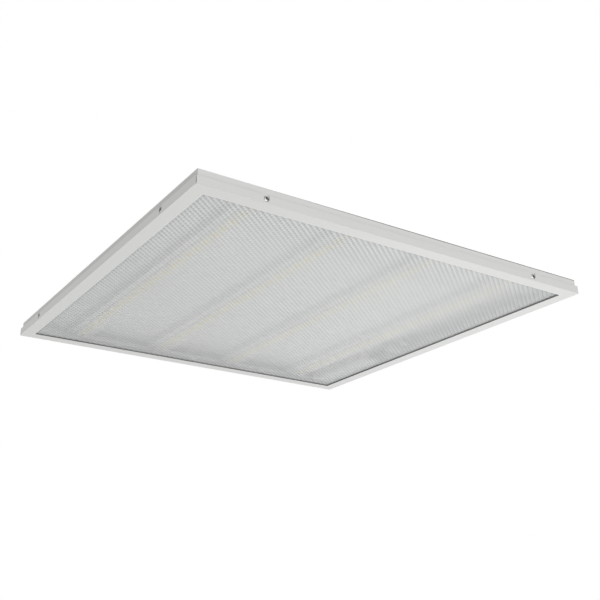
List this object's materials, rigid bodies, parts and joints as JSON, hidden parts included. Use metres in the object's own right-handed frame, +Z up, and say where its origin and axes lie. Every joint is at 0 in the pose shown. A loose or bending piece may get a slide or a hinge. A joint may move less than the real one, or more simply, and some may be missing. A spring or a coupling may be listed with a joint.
{
  "type": "recessed troffer light",
  "caption": "Square lay-in LED troffer light with a flat bezel frame, prismatic diffuser, shallow pressed tray, LED strips, driver and supply terminal inside.",
  "frame": {"origin": "middle of the bezel's lower face, which rests on the ceiling grid", "axes": "+Z up into the ceiling void; the LED strips run along Y; the driver and the supply entry are on the +X side, the driver towards +Y"},
  "size_m": [0.595, 0.595, 0.022],
  "materials": {
    "bezel_paint": "satin powder coat",
    "prismatic_sheet": "clear prismatic polystyrene, diamond lattice",
    "tray_paint": "satin powder coat",
    "zinc_screw": "bright zinc plate",
    "board_white": "white solder mask over aluminium",
    "led_phosphor": "yellow phosphor in a white package",
    "white_nylon": "moulded nylon",
    "connector_plastic": "moulded plastic",
    "wire_black": "insulation",
    "wire_red": "insulation",
    "driver_case": "fine spark-eroded texture",
    "circuit_board": "solder mask",
    "driver_plug": "moulded plastic",
    "ferrite": "sintered ferrite",
    "capacitor_sleeve": "shrink sleeve",
    "bare_aluminium": "mill finish",
    "terminal_plastic": "moulded plastic",
    "spring_steel": "bright",
    "button_plastic": "moulded plastic",
    "wire_brown": "insulation",
    "wire_blue": "insulation",
    "wire_green_yellow": "striped insulation",
    "brass": "tinned crimp",
    "grommet_rubber": "moulded",
    "clamp_nylon": "moulded nylon"
  },
  "bodies": {
    "housing": {"tray": "tray_paint", "frame_screws_1": "zinc_screw", "frame_screws_2": "zinc_screw", "frame_screws_3": "zinc_screw", "frame_screws_4": "zinc_screw", "led_strip_1": "board_white", "led_strip_2": "board_white", "led_strip_3": "board_white", "led_strip_4": "board_white", "leds_1": "led_phosphor", "leds_2": "led_phosphor", "leds_3": "led_phosphor", "leds_4": "led_phosphor", "strip_rivets_1": "white_nylon", "strip_rivets_2": "white_nylon", "strip_rivets_3": "white_nylon", "strip_rivets_4": "white_nylon", "cable_clips": "white_nylon", "strip_connectors_1": "connector_plastic", "strip_connectors_2": "connector_plastic", "strip_connectors_3": "connector_plastic", "strip_connectors_4": "connector_plastic", "jumper_minus_1": "wire_black", "jumper_minus_2": "wire_black", "jumper_minus_3": "wire_black", "output_minus": "wire_black", "jumper_plus_1": "wire_red", "jumper_plus_2": "wire_red", "jumper_plus_3": "wire_red", "output_plus": "wire_red", "driver_base": "driver_case", "driver_cover": "driver_case", "driver_board": "circuit_board", "driver_input": "driver_plug", "driver_output": "driver_plug", "driver_transformer": "ferrite", "driver_choke": "ferrite", "driver_capacitors": "capacitor_sleeve", "driver_heatsink": "bare_aluminium", "driver_screws": "zinc_screw", "terminal_screws": "zinc_screw", "clamp_screws": "zinc_screw", "earth_stud": "zinc_screw", "earth_nut": "zinc_screw", "terminal_block": "terminal_plastic", "terminal_clamps": "spring_steel", "live_lead": "wire_brown", "neutral_lead": "wire_blue", "earth_lead": "wire_green_yellow", "earth_ring": "brass", "cable_grommet": "grommet_rubber", "cable_clamp": "clamp_nylon"},
    "bezel": {"bezel_frame": "bezel_paint", "diffuser": "prismatic_sheet"},
    "live_button": {"button_live": "button_plastic"},
    "neutral_button": {"button_neutral": "button_plastic"},
    "earth_button": {"button_earth": "button_plastic"}
  },
  "joints": [
    {"name": "bezel_drop", "type": "slide", "parent": "housing", "child": "bezel", "axis": [0, 0, -1], "range_m": [0, 0.04]},
    {"name": "live_release", "type": "slide", "parent": "housing", "child": "live_button", "axis": [0, 0, 1], "range_m": [0, 0.0015], "stiffness_N_per_m": 400, "springref_m": -0.001},
    {"name": "neutral_release", "type": "slide", "parent": "housing", "child": "neutral_button", "axis": [0, 0, 1], "range_m": [0, 0.0015], "stiffness_N_per_m": 400, "springref_m": -0.001},
    {"name": "earth_release", "type": "slide", "parent": "housing", "child": "earth_button", "axis": [0, 0, 1], "range_m": [0, 0.0015], "stiffness_N_per_m": 400, "springref_m": -0.001}
  ]
}
